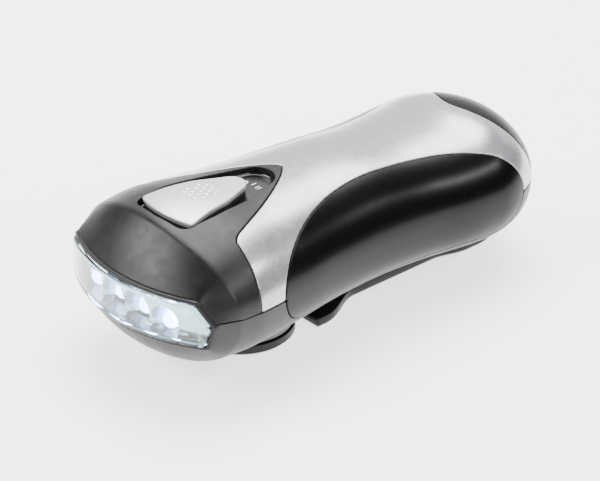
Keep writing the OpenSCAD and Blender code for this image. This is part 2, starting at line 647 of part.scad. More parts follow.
// ---------------------------------------------------------------- generator
can_r = 12;
can_z = top_plate_z + plate_t;
can_h = 10;
module generator_can() color("#c2c6cb") translate([0, rotor_y, can_z]) difference() {
    cylinder(can_h, r = can_r, $fn = fine);
    translate([0, 0, 0.8]) cylinder(can_h, r = can_r - 0.8, $fn = fine);
    translate([0, 0, -1]) cylinder(4, r = 2.2, $fn = 48);
}
module generator_cap() color("#3b3d41") translate([0, rotor_y, can_z + can_h - 1]) difference() {
    union() {
        cylinder(1, r = can_r - 0.85, $fn = fine);
        translate([0, 0, 1]) cylinder(0.8, r = can_r, $fn = fine);
        translate([0, 0, 1.8]) cylinder(1.2, r = 3, $fn = 48);
    }
    translate([0, 0, -1]) cylinder(3, r = 1 + running, $fn = 48);
}
module generator_rotor() color("#84888d") translate([0, rotor_y, 0]) {
    translate([0, 0, level_3]) cylinder(can_z + can_h + 0.6 - level_3, r = 1, $fn = 48);
    difference() {
        translate([0, 0, level_3 - 0.2]) gear(pinion_teeth, 3, gap_down);
        translate([0, 0, level_3]) cylinder(4, r = 0.98, $fn = 48);
    }
    translate([0, 0, can_z + 1.6]) difference() {
        cylinder(6, r = 6.4, $fn = 64);
        translate([0, 0, -1]) cylinder(9, r = 0.98, $fn = 48);
    }
}
module generator_coil() color("#b0662e") translate([0, rotor_y, can_z + 1.4]) difference() {
    cylinder(6.6, r = can_r - 1.2, $fn = fine);
    translate([0, 0, -1]) cylinder(9, r = 7.4, $fn = 64);
}

// ---------------------------------------------------------------- battery and leads
cell_r = 7.8;
cell_t = 6;
battery_y = 44;
battery_z = 19.2;
module battery_cells() color("#b9bdc2") for (k = [-1 : 1])
    translate([k * (cell_t + 0.1), battery_y, battery_z])
    rotate([0, 90, 0]) cylinder(cell_t, r = cell_r, center = true, $fn = fine);
module battery_wrap() color("#2f8f4a") translate([0, battery_y, battery_z]) rotate([0, 90, 0]) difference() {
    cylinder(3 * cell_t + 1.6, r = cell_r + 0.35, center = true, $fn = fine);
    cylinder(3 * cell_t + 0.24, r = cell_r + 0.02, center = true, $fn = fine);
    cylinder(40, r = 5.6, center = true, $fn = 64);
}
module battery_cradle() color("#3a3b3e") difference() {
    translate([-9.8, battery_y - 9.4, 8.9]) cube([19.6, 18.4, 7.5]);
    translate([0, battery_y, battery_z]) rotate([0, 90, 0])
        cylinder(60, r = cell_r + 0.45, center = true, $fn = fine);
}
// A lead swept along a smooth route
function lead_row(points, k, r, sides) = let (
        a = points[max(0, k - 1)], b = points[min(len(points) - 1, k + 1)],
        t = (b - a) / norm(b - a), u = cross([0.31, 0.2, 0.93], t), n = u / norm(u), m = cross(t, n))
    [for (i = [0 : sides - 1]) points[k] + r * (cos(360 * i / sides) * n + sin(360 * i / sides) * m)];
function curve_point(route, s) = let (
        i = min(len(route) - 2, floor(s)), t = s - i,
        a = route[max(0, i - 1)], b = route[i], c = route[i + 1], d = route[min(len(route) - 1, i + 2)])
    0.5 * (2 * b + (c - a) * t + (2 * a - 5 * b + 4 * c - d) * t ^ 2 + (3 * b - a - 3 * c + d) * t ^ 3);
module lead(route, r = 0.6) {
    steps = 4 * (len(route) - 1);
    points = [for (k = [0 : steps]) curve_point(route, k / 4)];
    lofted([for (k = [0 : steps]) lead_row(points, k, r, 8)], points[0], points[steps]);
}
BATTERY_ROUTE = [[12, 44, 19.2], [14, 40, 26], [15, 27, 34], [14, 8, 35], [13, -10, 33], [13, -12, 36.8]];
GENERATOR_ROUTE = [[5, 20, 36.15], [5, 19, 38], [6, 9, 41], [7, -4, 41], [7.5, -12, 39.6], [7.5, -13, 38]];
module battery_leads() color("#b3282d") {
    lead(BATTERY_ROUTE);
    mirror([1, 0, 0]) lead(BATTERY_ROUTE);
}
module generator_leads() color("#d8d8d8") {
    lead(GENERATOR_ROUTE);
    mirror([1, 0, 0]) lead(GENERATOR_ROUTE);
}

nose_hood();
top_cover();
side_grip_left();
side_grip_right();
rear_inlay();
lower_housing();
window_bezel();
window_lens();
reflector();
leds();
led_board();
led_leads();
slider_cap();
slider_base();
switch_actuator();
slide_switch();
main_board();
board_parts();
board_screws();
bearing_housing();
crank_bushing();
crank_disc();
crank_shaft();
crank_wheel();
crank_screw();
crank_arm();
arm_screws();
knob_hinge_pin();
knob_yoke();
knob_axle();
crank_knob();
gear_frame();
gear_plate();
gear_axles();
gear_a();
gear_b();
frame_screws();
generator_can();
generator_cap();
generator_rotor();
generator_coil();
battery_cells();
battery_wrap();
battery_cradle();
battery_leads();
generator_leads();
housing_screws();
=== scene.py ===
"""Looks of the wind-up torch: smooth moulded panels, clear window, lit LEDs and a folded crank."""

import json
import math

import bmesh
import bpy
import numpy as np
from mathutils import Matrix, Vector
from mathutils.geometry import tessellate_polygon


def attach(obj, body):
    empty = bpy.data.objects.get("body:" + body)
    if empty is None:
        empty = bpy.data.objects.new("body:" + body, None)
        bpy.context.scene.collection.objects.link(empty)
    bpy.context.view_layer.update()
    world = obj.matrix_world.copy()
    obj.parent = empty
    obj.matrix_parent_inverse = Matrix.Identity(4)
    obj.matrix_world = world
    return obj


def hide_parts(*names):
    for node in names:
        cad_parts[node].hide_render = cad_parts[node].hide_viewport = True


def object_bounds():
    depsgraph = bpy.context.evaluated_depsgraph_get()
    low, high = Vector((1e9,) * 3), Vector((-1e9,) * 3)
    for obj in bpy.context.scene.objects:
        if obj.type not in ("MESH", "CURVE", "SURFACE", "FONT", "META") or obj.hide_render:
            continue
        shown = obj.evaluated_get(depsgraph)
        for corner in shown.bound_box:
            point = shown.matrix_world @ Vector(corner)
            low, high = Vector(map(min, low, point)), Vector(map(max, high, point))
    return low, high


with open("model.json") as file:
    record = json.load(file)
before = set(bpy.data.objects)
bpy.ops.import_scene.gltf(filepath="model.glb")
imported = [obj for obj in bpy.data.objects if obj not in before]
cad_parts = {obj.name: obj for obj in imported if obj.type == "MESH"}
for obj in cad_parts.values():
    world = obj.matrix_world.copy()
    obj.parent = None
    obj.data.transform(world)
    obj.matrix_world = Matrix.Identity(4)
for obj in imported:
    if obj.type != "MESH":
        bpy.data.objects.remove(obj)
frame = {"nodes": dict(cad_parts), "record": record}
CAD_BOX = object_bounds()
NODES = frame["nodes"]
MM = 0.001

# ------------------------------------------------------------------ shape of the body, in millimetres
# Distance along the body, half width, top and underside, as in the CAD model
STATIONS = np.array([
    [-64, 33.6, 47.8, 7.8],
    [-48, 34.0, 49.8, 7.1],
    [-30, 31.8, 48.5, 7.6],
    [-12, 29.3, 47.8, 8.3],
    [6, 28.0, 47.2, 8.2],
    [24, 28.1, 45.5, 7.0],
    [42, 29.8, 45.1, 5.4],
    [57, 30.3, 46.2, 5.2],
    [75, 30.4, 46.6, 5.2],
])
HALF_W, TOP, BELLY = 1, 2, 3
TAIL_START, TAIL_END, TAIL_POWER = 47.8, 75.0, 2.1
UPPER_POWER, LOWER_POWER = 2.0, 2.35
CREASE_Y = -61.2
WINDOW_R, WINDOW_Y, WINDOW_W = 54.0, -75.0, 63.0
RIM_BACK = 1.9
RIM_END_Z = 28.3
# Window outline: angle round the section, share of the half width, height above its pointed ends
RIM = np.array([[-90, 0, -8.6], [-36, 0.94, -7.6], [0, 1, 0], [42, 0.845, 7.2], [90, 0, 7.4]])
CHIN_BULGE = 0.5
CREASE_NOSE = 0.08
CREASE_BODY = 1.5
SEAM = 0.12
ROLL = 0.32
SHELL = 1.7


def parting(y):
    return 27.5 - 0.025 * y


def along(y, column):
    """Smooth curve through one column of the stations, with the CAD model's slopes."""
    ys, vs = STATIONS[:, 0], STATIONS[:, column]
    i = np.clip(np.searchsorted(ys, y, side="right") - 1, 0, len(ys) - 2)
    before, after = np.maximum(np.arange(len(ys)) - 1, 0), np.minimum(np.arange(len(ys)) + 1, len(ys) - 1)
    slopes = (vs[after] - vs[before]) / (ys[after] - ys[before])
    h = ys[i + 1] - ys[i]
    t = (y - ys[i]) / h
    return ((2 * t**3 - 3 * t**2 + 1) * vs[i] + (t**3 - 2 * t**2 + t) * h * slopes[i]
            + (3 * t**2 - 2 * t**3) * vs[i + 1] + (t**3 - t**2) * h * slopes[i + 1])


def smooth(t):
    t = np.clip(t, 0, 1)
    return t * t * (3 - 2 * t)


def arc_drop(x):
    """How far the window's arc lies behind its front, at x."""
    return WINDOW_R - np.sqrt(np.maximum(0, WINDOW_R**2 - x**2))


def section(y, a):
    """Points of the body skin at distance y and angle a."""
    q = np.clip((y - TAIL_START) / (TAIL_END - TAIL_START), 0, 1)
    closing = np.maximum(0, 1 - q**TAIL_POWER) ** (1 / TAIL_POWER)
    sine, cosine = np.sin(a), np.cos(a)
    power = np.where(sine >= 0, UPPER_POWER, LOWER_POWER)
    z0 = parting(y)
    reach = np.where(sine >= 0, along(y, TOP) - z0, z0 - along(y, BELLY))
    x = along(y, HALF_W) * closing * np.sign(cosine) * np.abs(cosine) ** (2 / power)
    z = z0 + reach * closing * np.sign(sine) * np.abs(sine) ** (2 / power)
    bow = 0.4 * smooth((-44 - y) / 18)
    return np.stack([x, y + bow * arc_drop(x), z], axis=-1)


def rim_outline(a, inset=0.0, rounding=5.0):
    """Window outline seen from the front at angle a, with its corners rounded over a few degrees."""
    x, z = np.zeros_like(a), np.zeros_like(a)
    weights = np.exp(-0.5 * (np.linspace(-2, 2, 9)) ** 2)
    for step, weight in zip(np.linspace(-2, 2, 9) * rounding / 2, weights / weights.sum()):
        turn = (np.degrees(a) + step + 180) % 360 - 180
        folded = np.where(turn > 90, 180 - turn, np.where(turn < -90, -180 - turn, turn))
        side = np.where(np.abs(turn) > 90, -1, 1)
        x += weight * side * np.interp(folded, RIM[:, 0], RIM[:, 1]) * WINDOW_W / 2
        z += weight * np.interp(folded, RIM[:, 0], RIM[:, 2])
    return x * (1 - 2 * inset / WINDOW_W), RIM_END_Z + z * (1 - inset / 7.4)


def nose(t, a):
    """Points between the crease (t 0) and the window frame (t 1)."""
    start = section(np.full_like(a, CREASE_Y), a)
    x, z = rim_outline(a)
    end = np.stack([x, WINDOW_Y + RIM_BACK + arc_drop(x), z], axis=-1)
    chin = CHIN_BULGE * np.maximum(0, -np.sin(a))
    crown = 0.06 * np.maximum(0, np.sin(a)) * np.sin(np.pi * t)
    forward = t + (np.sin(np.pi / 2 * t) - t) * chin
    inward = t + (1 - np.cos(np.pi / 2 * t) - t) * chin - crown
    share = np.stack([inward, forward, inward], axis=-1)
    return start + (end - start) * share


def skin(q):
    """Skin points for rows of (r, angle). r is 0 at the window frame, 1 to 2 on the rounded crease,
    3 where the tail starts to close and 4 at its tip."""
    r, a = q[:, 0], q[:, 1]
    on_nose = nose(1 - (1 - CREASE_NOSE) * np.clip(r, 0, 1), a)
    u = np.clip(r - 1, 0, 1)[:, None]
    crease = section(np.full_like(a, CREASE_Y), a)
    behind = section(np.full_like(a, CREASE_Y + CREASE_BODY), a)
    rounded = (1 - u) ** 2 * nose(np.full_like(a, CREASE_NOSE), a) + 2 * u * (1 - u) * crease + u**2 * behind
    start = CREASE_Y + CREASE_BODY
    y = np.where(r < 3, start + (TAIL_START - start) * (r - 2),
                 TAIL_START + (TAIL_END - TAIL_START) * np.sin(np.pi / 2 * np.clip(r - 3, 0, 1)))
    body = section(y, a)
    r = r[:, None]
    return np.where(r < 1, on_nose, np.where(r < 2, rounded, body))


def tangents(q, step=2e-5):
    points = skin(q)
    back_r = np.where(q[:, 0] > 3.9, -1.0, 1.0)[:, None]
    along_r = (skin(q + [step, 0] * back_r) - points) / (step * back_r)
    along_a = (skin(q + [0, step]) - skin(q - [0, step])) / (2 * step)
    normal = np.cross(along_r, along_a)
    size = np.linalg.norm(normal, axis=1, keepdims=True)
    normal = np.where(size > 1e-6, normal / np.maximum(size, 1e-12), [0, 1, 0])
    return points, along_r, along_a, normal


# ------------------------------------------------------------------ outlines of the panels
# Each area is a function of skin parameters q and points p that is positive inside the area
TONGUE_Y, SHOULDER_Y, SHOULDER_X, OUTLINE_BLEND = -13.1, -47.9, 22, 3.4
GRIP_EDGE, GRIP_MIDDLE_Y = 14.6, 12.5
GRIP_CORNER_R, GRIP_CORNER_FRONT, GRIP_CORNER_REAR = 12, -28.2, 45.0
GRIP_CORNER_Z, GRIP_DROP = 29.5, 3.2
INLAY_Y, INLAY_VERTEX = 52.3, 3.0


def above_parting(q, p):
    return p[:, 2] - parting(p[:, 1])


def hood_area(q, p):
    """Positive on the black hood: a rounded tongue, and the whole nose in front of the shoulders."""
    x, y = np.abs(p[:, 0]), p[:, 1]
    tongue = TONGUE_Y - (x / 1.59) ** 1.383 - y
    shoulder = SHOULDER_Y - 0.1 * np.maximum(x - SHOULDER_X, 0) ** 1.1 - y
    overlap = np.maximum(OUTLINE_BLEND - np.abs(tongue - shoulder), 0)
    return np.maximum(tongue, shoulder) + overlap**2 / (4 * OUTLINE_BLEND)


def grip_area(q, p):
    """Positive on a side grip: bowed upper edge, round lower corners, the rear one lower."""
    x, y, z = np.abs(p[:, 0]), p[:, 1], p[:, 2]
    edge = GRIP_EDGE + np.where(y < GRIP_MIDDLE_Y, 5.2, 5.8) * (np.abs(y - GRIP_MIDDLE_Y) / 31) ** 2.4
    share = np.clip((y - GRIP_CORNER_FRONT) / (GRIP_CORNER_REAR - GRIP_CORNER_FRONT), 0, 1)
    past_corner = np.maximum(np.maximum(GRIP_CORNER_FRONT - y, y - GRIP_CORNER_REAR), 0)
    below_corner = np.maximum(GRIP_CORNER_Z - GRIP_DROP * share - z, 0)
    low = GRIP_CORNER_R - np.hypot(past_corner, below_corner)
    return np.where(above_parting(q, p) > 0, x - edge, low)


def inlay_area(q, p):
    """Positive on the inlay round the tail."""
    return p[:, 1] - INLAY_Y - 0.235 * (p[:, 0] ** 2 + INLAY_VERTEX**2) ** 0.63


def behind_frame(q, p):
    """About the distance behind the window frame."""
    return q[:, 0] * 15


def hull_of(circles):
    """Outline round circles given as x, y and radius."""
    turn = np.linspace(0, 2 * np.pi, 180, endpoint=False)
    points = np.concatenate([np.stack([x + r * np.cos(turn), y + r * np.sin(turn)], axis=1)
                             for x, y, r in circles])
    points = points[np.lexsort((points[:, 1], points[:, 0]))]

    def half(sequence):
        chain = []
        for p in sequence:
            while len(chain) > 1 and (chain[-1][0] - chain[-2][0]) * (p[1] - chain[-2][1]) <= (
                    chain[-1][1] - chain[-2][1]) * (p[0] - chain[-2][0]):
                chain.pop()
            chain.append(p)
        return chain[:-1]

    return np.array(half(points) + half(points[::-1]))


def depth_inside(xy, outline):
    """Distance inside a convex outline, negative outside it."""
    best = np.full(len(xy), 1e9)
    sign = np.full(len(xy), 1e9)
    for a, b in zip(outline, np.roll(outline, -1, axis=0)):
        edge = b - a
        size = np.hypot(*edge)
        if size < 1e-9:
            continue
        rel = xy - a
        t = np.clip(rel @ edge / size**2, 0, 1)
        best = np.minimum(best, np.hypot(*(rel - t[:, None] * edge).T))
        sign = np.minimum(sign, (edge[0] * rel[:, 1] - edge[1] * rel[:, 0]) / size)
    return np.where(sign > 0, best, -best)


RECESS = hull_of([(-7.6, -54.6, 3.6), (7.6, -54.6, 3.6), (0, -47.7, 11.2), (0, -34, 9.2), (0, -23.6, 6)])
SLIDER_FRONT, SLIDER_ARC = -57.4, 26
SLIDER_HULL = hull_of([(-8.1, -54, 2.6), (8.1, -54, 2.6), (0, -41.5, 8), (0, -31.8, 4.4),
                        (-6.5, -56.9, 0.5), (6.5, -56.9, 0.5), (0, -56.9, 0.5)])


def in_slider(q, p):
    arc = SLIDER_ARC - np.hypot(p[:, 0], p[:, 1] - SLIDER_FRONT - SLIDER_ARC)
    return np.where(p[:, 2] > 35, np.minimum(depth_inside(p[:, :2], SLIDER_HULL), arc), -9)


def outside_recess(q, p):
    return np.where(p[:, 2] > 35, -depth_inside(p[:, :2], RECESS), 9)


def no(area):
    return lambda q, p: -area(q, p)


HUB_Y = -28.7
SCREWS = [(-19, -52), (19, -52), (-17, 50), (17, 50)]


def outside_circle(x, y, r):
    return lambda q, p: np.where(p[:, 2] < 25, np.hypot(p[:, 0] - x, p[:, 1] - y) - r, 9)


# ------------------------------------------------------------------ cutting a panel out of the skin
def edge_distance(q, areas):
    """Distance from the panel's nearest edge, measured along the skin, and the way out over that edge."""
    step = 2e-5
    points, dr, da, normal = tangents(q)
    side = np.where(q[:, 0] > 3.9, -1.0, 1.0)
    ahead_r = q + np.stack([step * side, np.zeros(len(q))], axis=1)
    ahead_a = q + [0, step]
    p_r, p_a = skin(ahead_r), skin(ahead_a)
    e, f, g = (dr * dr).sum(1), (dr * da).sum(1), (da * da).sum(1)
    det = np.maximum(e * g - f * f, 1e-9)
    nearest = np.full(len(q), 1e9)
    out = np.zeros_like(points)
    for area in areas:
        value = area(q, points)
        vr = (area(ahead_r, p_r) - value) / (step * side)
        va = (area(ahead_a, p_a) - value) / step
        grad = (dr * ((g * vr - f * va) / det)[:, None]) + (da * ((e * va - f * vr) / det)[:, None])
        size = np.linalg.norm(grad, axis=1)
        size = np.clip(size, 0.35, 4.0)  # steeper slopes come only from the jump at the parting line
        distance = value / size
        closer = distance < nearest
        nearest = np.where(closer, distance, nearest)
        out = np.where(closer[:, None], -grad / size[:, None], out)
    return nearest, out, points, normal


def cut(q, tris, value_of, level, drop):
    """Splits the triangles along value == level, and drops what is below it if asked."""
    value = value_of(q) - level
    value = np.where(np.abs(value) < 1e-7, 1e-7, value)
    inside = value > 0
    count = inside[tris].sum(1)
    whole = tris[count == 3]
    below = tris[count == 0]
    mixed = tris[(count == 1) | (count == 2)]
    if len(mixed) == 0:
        return q, (whole if drop else tris)
    odd_inside = inside[mixed].sum(1) == 1
    lone = np.where(odd_inside[:, None], inside[mixed], ~inside[mixed])
    first = lone.argmax(1)
    rows = np.arange(len(mixed))
    a = mixed[rows, first]
    b = mixed[rows, (first + 1) % 3]
    c = mixed[rows, (first + 2) % 3]
    pairs = np.sort(np.concatenate([np.stack([a, b], 1), np.stack([a, c], 1)]), axis=1)
    edges, index = np.unique(pairs, axis=0, return_inverse=True)
    index = index.reshape(-1)
    lo, hi = q[edges[:, 0]].copy(), q[edges[:, 1]].copy()
    v_lo, v_hi = value[edges[:, 0]].copy(), value[edges[:, 1]].copy()
    for _ in range(3):
        t = (v_lo / (v_lo - v_hi))[:, None]
        middle = lo + (hi - lo) * t
        v = value_of(middle) - level
        same = (v > 0) == (v_lo > 0)
        lo, v_lo = np.where(same[:, None], middle, lo), np.where(same, v, v_lo)
        hi, v_hi = np.where(same[:, None], hi, middle), np.where(same, v_hi, v)
        v_lo = np.where(np.abs(v_lo) < 1e-9, 1e-9 * np.sign(v_lo + 1e-12), v_lo)
    base = len(q)
    q = np.concatenate([q, middle])
    ab, ac = base + index[:len(mixed)], base + index[len(mixed):]
    tips = np.stack([a, ab, ac], 1)
    rest = np.concatenate([np.stack([ab, b, c], 1), np.stack([ab, c, ac], 1)])
    rest_odd = np.concatenate([odd_inside, odd_inside])
    if drop:
        return q, np.concatenate([whole, tips[odd_inside], rest[~rest_odd]])
    return q, np.concatenate([whole, below, tips, rest])


def used_only(q, tris):
    keep, index = np.unique(tris, return_inverse=True)
    return q[keep], index.reshape(tris.shape)


def grid(r_values, a_values):
    rr, aa = np.meshgrid(r_values, a_values, indexing="ij")
    q = np.stack([rr.ravel(), aa.ravel()], 1)
    n = len(a_values)
    i, j = np.meshgrid(np.arange(len(r_values) - 1), np.arange(n - 1), indexing="ij")
    a = (i * n + j).ravel()
    b, c, d = a + 1, a + n + 1, a + n
    return q, np.concatenate([np.stack([a, c, b], 1), np.stack([a, d, c], 1)])


ROWS = np.concatenate([np.linspace(0, 1, 22)[:-1], np.linspace(1, 2, 9)[:-1],
                       np.linspace(2, 3, 132)[:-1], np.linspace(3, 4, 46)])
TURNS = np.linspace(-np.pi / 2, 3 * np.pi / 2, 233)


def weld(points, tris):
    keys = np.round(points, 5)
    _, first, index = np.unique(keys, axis=0, return_index=True, return_inverse=True)
    tris = index.reshape(-1)[tris]
    sound = (tris[:, 0] != tris[:, 1]) & (tris[:, 1] != tris[:, 2]) & (tris[:, 2] != tris[:, 0])
    return first, tris[sound]


def open_edges(tris):
    """Directed edges that belong to one triangle only."""
    directed = np.concatenate([tris[:, [0, 1]], tris[:, [1, 2]], tris[:, [2, 0]]])
    keys = np.sort(directed, axis=1)
    _, index, counts = np.unique(keys, axis=0, return_inverse=True, return_counts=True)
    return directed[counts[index.reshape(-1)] == 1]


def mesh_object(name, points, faces, normals=None):
    """A smooth mesh in millimetres. normals holds one direction for each corner of each face."""
    mesh = bpy.data.meshes.new(name)
    mesh.from_pydata((np.asarray(points) * MM).tolist(), [], [list(map(int, f)) for f in faces])
    mesh.polygons.foreach_set("use_smooth", [True] * len(mesh.polygons))
    if normals is not None:
        mesh.normals_split_custom_set([tuple(n) for n in normals])
    mesh.update()
    thing = bpy.data.objects.new(name, mesh)
    bpy.context.scene.collection.objects.link(thing)
    return thing


def solid_from(name, outer, inner, tris, normals, out):
    """Closes a sheet into a wall: outer and inner faces, joined round the open edges."""
    n = len(outer)
    rim = open_edges(tris)
    walls = np.stack([rim[:, 1], rim[:, 0], rim[:, 0] + n, rim[:, 1] + n], 1)
    points = np.concatenate([outer, inner])
    faces = tris.tolist() + (tris[:, ::-1] + n).tolist() + walls.tolist()
    corner = np.concatenate([normals[tris].reshape(-1, 3), -normals[tris[:, ::-1]].reshape(-1, 3),
                             out[np.stack([rim[:, 1], rim[:, 0], rim[:, 0], rim[:, 1]], 1)].reshape(-1, 3)])
    return mesh_object(name, points, faces, corner)


def panel(name, areas, roll=ROLL, gap=SEAM, thick=SHELL, sunk=0.0, rows=ROWS, turns=TURNS, relief=None):
    """A moulded panel of the skin inside all the areas, with rolled edges and a real wall behind it."""
    q, tris = grid(rows, turns)
    rough = np.min([area(q, skin(q)) for area in areas], axis=0)
    tris = tris[(rough[tris] > -4).any(axis=1)]
    q, tris = used_only(q, tris)

    def value_of(some):
        return edge_distance(some, areas)[0] - gap

    q, tris = cut(q, tris, value_of, 0.0, drop=True)
    q, tris = used_only(q, tris)
    for share in (0.1, 0.35, 0.68, 1.0):
        q, tris = cut(q, tris, value_of, roll * share, drop=False)
    distance, out, points, normal = edge_distance(q, areas)
    first, tris = weld(points, tris)
    distance, out, points, normal = distance[first] - gap, out[first], points[first], normal[first]
    size = np.linalg.norm(out, axis=1, keepdims=True)
    out = out / np.maximum(size, 1e-9)
    lean = np.clip((roll - distance) / roll, 0, 1)
    sink = roll * (1 - np.sqrt(np.maximum(0, 1 - lean**2))) + sunk
    inner = points - normal * (thick + sunk)
    outer = points - normal * sink[:, None]
    shade = normal * np.sqrt(1 - lean**2)[:, None] + out * lean[:, None]
    if relief is not None:
        height, slope = relief(outer)
        outer = outer + normal * height[:, None]
        shade = shade - slope
    shade = shade / np.linalg.norm(shade, axis=1, keepdims=True)
    return solid_from(name, outer, inner, tris, shade, out)


# ------------------------------------------------------------------ materials
def material(name, colour, roughness, metallic=0.0, tint=0.06, tint_size=9.0, grain=0.0, grain_size=0.3,
             wear=0.05, wear_size=2.5, coat=0.0, specular=0.5, emission=None, glow=0.0, weight=0.0,
             ior=1.5):
    """A procedural finish: slow colour drift, uneven gloss and a fine grain. Sizes are in mm."""
    made = bpy.data.materials.new(name)
    made.use_nodes = True
    tree = made.node_tree
    link, new = tree.links.new, tree.nodes.new
    shader = tree.nodes["Principled BSDF"]
    place = new("ShaderNodeTexCoord")

    def noise(size, detail=3.0, stretch=None):
        node = new("ShaderNodeTexNoise")
        node.inputs["Scale"].default_value = 1 / (size * MM)
        node.inputs["Detail"].default_value = detail
        source = place.outputs["Object"]
        if stretch:
            scale = new("ShaderNodeMapping")
            scale.inputs["Scale"].default_value = stretch
            link(source, scale.inputs["Vector"])
            source = scale.outputs["Vector"]
        link(source, node.inputs["Vector"])
        return node

    def spread(node, low, high):
        ramp = new("ShaderNodeMapRange")
        ramp.inputs["From Min"].default_value = 0.3
        ramp.inputs["From Max"].default_value = 0.7
        ramp.inputs["To Min"].default_value = low
        ramp.inputs["To Max"].default_value = high
        link(node.outputs["Fac"], ramp.inputs["Value"])
        return ramp.outputs["Result"]

    mix = new("ShaderNodeMix")
    mix.data_type = "RGBA"
    dark = [c * (1 - tint) for c in colour]
    light = [min(1.0, c * (1 + tint)) for c in colour]
    mix.inputs[6].default_value = (*dark, 1)
    mix.inputs[7].default_value = (*light, 1)
    link(spread(noise(tint_size), 0, 1), mix.inputs[0])
    link(mix.outputs[2], shader.inputs["Base Color"])
    uneven = spread(noise(wear_size, 5.0), max(0.0, roughness - wear), min(1.0, roughness + wear))
    link(uneven, shader.inputs["Roughness"])
    shader.inputs["Metallic"].default_value = metallic
    shader.inputs["Specular IOR Level"].default_value = specular
    shader.inputs["IOR"].default_value = ior
    shader.inputs["Coat Weight"].default_value = coat
    shader.inputs["Coat Roughness"].default_value = 0.12
    shader.inputs["Transmission Weight"].default_value = weight
    if emission:
        shader.inputs["Emission Color"].default_value = (*emission, 1)
        shader.inputs["Emission Strength"].default_value = glow
    if grain:
        bump = new("ShaderNodeBump")
        bump.inputs["Strength"].default_value = 1.0
        bump.inputs["Distance"].default_value = grain * MM
        link(noise(grain_size, 4.0).outputs["Fac"], bump.inputs["Height"])
        link(bump.outputs["Normal"], shader.inputs["Normal"])
    return made


def brushed(name, colour, roughness, direction=(1, 12, 1), grain=0.004):
    """Metal with fine lines that run across the long direction."""
    made = material(name, colour, roughness, metallic=1.0, tint=0.05, wear=0.08)
    tree = made.node_tree
    link, new = tree.links.new, tree.nodes.new
    place, scale = new("ShaderNodeTexCoord"), new("ShaderNodeMapping")
    lines, bump = new("ShaderNodeTexNoise"), new("ShaderNodeBump")
    scale.inputs["Scale"].default_value = direction
    lines.inputs["Scale"].default_value = 1 / (1.2 * MM)
    lines.inputs["Detail"].default_value = 4
    bump.inputs["Distance"].default_value = grain * MM
    link(place.outputs["Object"], scale.inputs["Vector"])
    link(scale.outputs["Vector"], lines.inputs["Vector"])
    link(lines.outputs["Fac"], bump.inputs["Height"])
    link(bump.outputs["Normal"], tree.nodes["Principled BSDF"].inputs["Normal"])
    return made


LOOKS = {
    "black_shell": material("hood_plastic", (0.005, 0.0051, 0.0058), 0.38, tint=0.1,
                            grain=0.02, grain_size=0.35, specular=0.3),
    "silver_cover": material("silver_lacquer", (0.42, 0.425, 0.445), 0.27, metallic=0.7, tint=0.03,
                             tint_size=0.25, grain=0.0012, grain_size=0.12, coat=0.25, wear=0.03),
    "grip_rubber": material("grip_rubber", (0.0012, 0.0012, 0.0014), 0.26, tint=0.05,
                            grain=0.0012, grain_size=0.6, wear=0.01, specular=0.16),
    "inlay_gloss": material("inlay_gloss", (0.003, 0.003, 0.0035), 0.34, tint=0.08, wear=0.03,
                            specular=0.12),
    "lower_shell": material("lower_plastic", (0.007, 0.0071, 0.008), 0.38, tint=0.1,
                            grain=0.008, grain_size=0.35, specular=0.35),
    "bezel": material("bezel_plastic", (0.004, 0.004, 0.005), 0.4, tint=0.1, wear=0.04, specular=0.25),
    "lens": material("clear_lens", (0.84, 0.93, 0.92), 0.02, tint=0.004, wear=0.012, weight=1.0, ior=1.5),
    "reflector_silver": material("reflector_silver", (0.7, 0.78, 0.86), 0.16, metallic=0.6,
                                 tint=0.02, wear=0.05),
    "led_clear": material("led_dome", (0.72, 0.8, 1.0), 0.06, tint=0.03, tint_size=1.5, wear=0.03,
                          weight=0.75, emission=(0.7, 0.8, 1.0), glow=6.0),
    "board_green": material("solder_mask", (0.03, 0.16, 0.07), 0.3, tint=0.2, tint_size=3,
                            grain=0.01, coat=0.3),
    "tin": brushed("tinned_wire", (0.72, 0.72, 0.74), 0.3),
    "slider_silver": material("slider_silver", (0.62, 0.63, 0.65), 0.38, metallic=0.6, tint=0.03,
                              tint_size=0.4, grain=0.0015, grain_size=0.15, wear=0.04),
    "black_part": material("black_part", (0.013, 0.013, 0.015), 0.45, tint=0.12,
                           grain=0.008, grain_size=0.4),
    "white_part": material("white_part", (0.72, 0.71, 0.66), 0.45, tint=0.04, grain=0.006, grain_size=0.5),
    "crank_black": material("crank_plastic", (0.005, 0.005, 0.0055), 0.42, tint=0.12,
                            grain=0.01, grain_size=0.35, specular=0.3),
    "steel": brushed("turned_steel", (0.56, 0.57, 0.59), 0.28),
    "bronze": brushed("sintered_bronze", (0.55, 0.38, 0.19), 0.4),
    "gear_plastic": material("gear_plastic", (0.78, 0.73, 0.6), 0.4, tint=0.05, grain=0.005, grain_size=0.4),
    "copper": brushed("copper_winding", (0.6, 0.25, 0.11), 0.35, (1, 1, 14), 0.03),
    "magnet": brushed("ground_magnet", (0.25, 0.25, 0.27), 0.45),
    "cell_case": brushed("plated_cell", (0.7, 0.7, 0.72), 0.22),
    "wrap_green": material("shrink_wrap", (0.02, 0.2, 0.07), 0.25, tint=0.15, grain=0.03,
                           grain_size=1.5, coat=0.4),
    "lead_red": material("red_insulation", (0.36, 0.012, 0.012), 0.4, tint=0.15, grain=0.01, grain_size=0.6),
    "lead_white": material("white_insulation", (0.7, 0.7, 0.68), 0.4, tint=0.05, grain=0.01, grain_size=0.6),
}
# Painted light: the collar gets a lighter grey than the black shell, standing for the white floor's light
# that it catches.
COLLAR_PAINTED_FLOOR_LIGHT = material("collar_painted_floor_light", (0.1, 0.1, 0.102), 0.42, grain=0.008, grain_size=0.35, tint=0.1)
CUP_GLOW = material("lit_cup", (0.7, 0.76, 0.95), 0.25, metallic=0.4, tint=0.04, wear=0.05,
                    emission=(0.2, 0.28, 1.0), glow=1.3)
